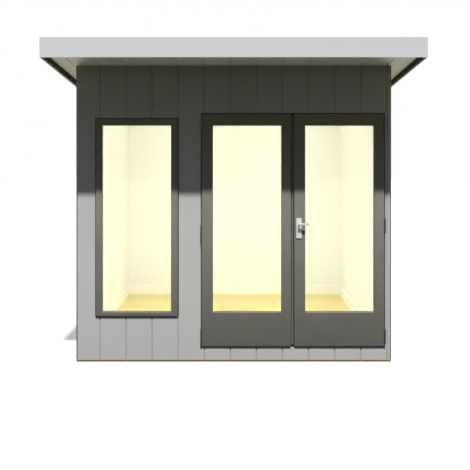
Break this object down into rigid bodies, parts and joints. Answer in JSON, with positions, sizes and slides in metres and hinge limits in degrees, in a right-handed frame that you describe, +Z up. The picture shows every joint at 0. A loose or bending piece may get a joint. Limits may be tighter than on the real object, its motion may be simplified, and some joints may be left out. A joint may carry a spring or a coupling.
{
  "type": "garden office pod",
  "caption": "Timber garden room with grooved vertical cladding, a lean-to roof with a deep front overhang, a tall fixed window and glazed double doors.",
  "frame": {"origin": "ground level under the middle of the walls, on the underside of the middle floor joist", "axes": "+X to the right seen from the front, +Y towards the back wall, +Z up"},
  "size_m": [2.7136, 3, 2.4111],
  "materials": {
    "sawn_timber": "sawn, pressure treated",
    "floor_timber": "planed boards, clear lacquer",
    "wall_frame_timber": "sawn frame with insulation",
    "painted_cladding": "satin grey paint on vertical boards",
    "painted_lining": "matt pale paint on board",
    "roof_board": "insulated roof panel",
    "roof_membrane": "dark roofing membrane",
    "painted_fascia": "satin pale grey paint",
    "painted_joinery": "satin dark grey paint",
    "glazing": "clear sealed glass unit",
    "dark_hinges": "dark satin coating",
    "satin_metal": "satin"
  },
  "bodies": {
    "pod": {"floor_rims": "sawn_timber", "floor_joists": "sawn_timber", "base_battens": "sawn_timber", "floor_boards": "floor_timber", "front_wall_left": "wall_frame_timber", "front_wall_middle": "wall_frame_timber", "front_wall_under_window": "wall_frame_timber", "front_wall_over_window": "wall_frame_timber", "front_wall_over_doors": "wall_frame_timber", "left_wall": "wall_frame_timber", "right_wall": "wall_frame_timber", "back_wall": "wall_frame_timber", "front_cladding": "painted_cladding", "back_cladding": "painted_cladding", "left_cladding": "painted_cladding", "right_cladding": "painted_cladding", "front_lining": "painted_lining", "left_lining": "painted_lining", "right_lining": "painted_lining", "back_lining": "painted_lining", "skirting": "painted_lining", "ceiling_lining": "painted_lining", "roof_panel": "roof_board", "roof_covering": "roof_membrane", "left_barge_board": "painted_fascia", "right_barge_board": "painted_fascia", "front_fascia": "painted_fascia", "back_fascia": "painted_fascia", "front_soffit": "painted_cladding", "side_soffits": "painted_cladding", "back_soffit": "painted_cladding", "window_frame": "painted_joinery", "window_glass": "glazing", "window_beads": "painted_joinery", "door_jambs": "painted_joinery", "door_head": "painted_joinery", "door_threshold": "painted_joinery", "frame_hinges": "dark_hinges"},
    "left_door": {"left_door_frame": "painted_joinery", "left_door_glass": "glazing", "left_door_beads": "painted_joinery", "left_door_hinges": "dark_hinges", "meeting_strip": "painted_joinery"},
    "right_door": {"right_door_frame": "painted_joinery", "right_door_glass": "glazing", "right_door_beads": "painted_joinery", "right_door_hinges": "dark_hinges", "backplates": "satin_metal", "lock_cylinder": "satin_metal"},
    "door_handle": {"lever_handle": "satin_metal"}
  },
  "joints": [
    {"name": "left_door_swing", "type": "hinge", "parent": "pod", "child": "left_door", "pos_m": [-0.25025, -1.219, 0], "axis": [0, 0, -1], "range_deg": [0, 170]},
    {"name": "right_door_swing", "type": "hinge", "parent": "pod", "child": "right_door", "pos_m": [1.15775, -1.219, 0], "axis": [0, 0, 1], "range_deg": [0, 170]},
    {"name": "handle_turn", "type": "hinge", "parent": "right_door", "child": "door_handle", "pos_m": [0.49925, -1.213, 1.058], "axis": [0, 1, 0], "range_deg": [0, 40], "stiffness_Nm_per_rad": 0.8, "springref_deg": -34.38}
  ]
}
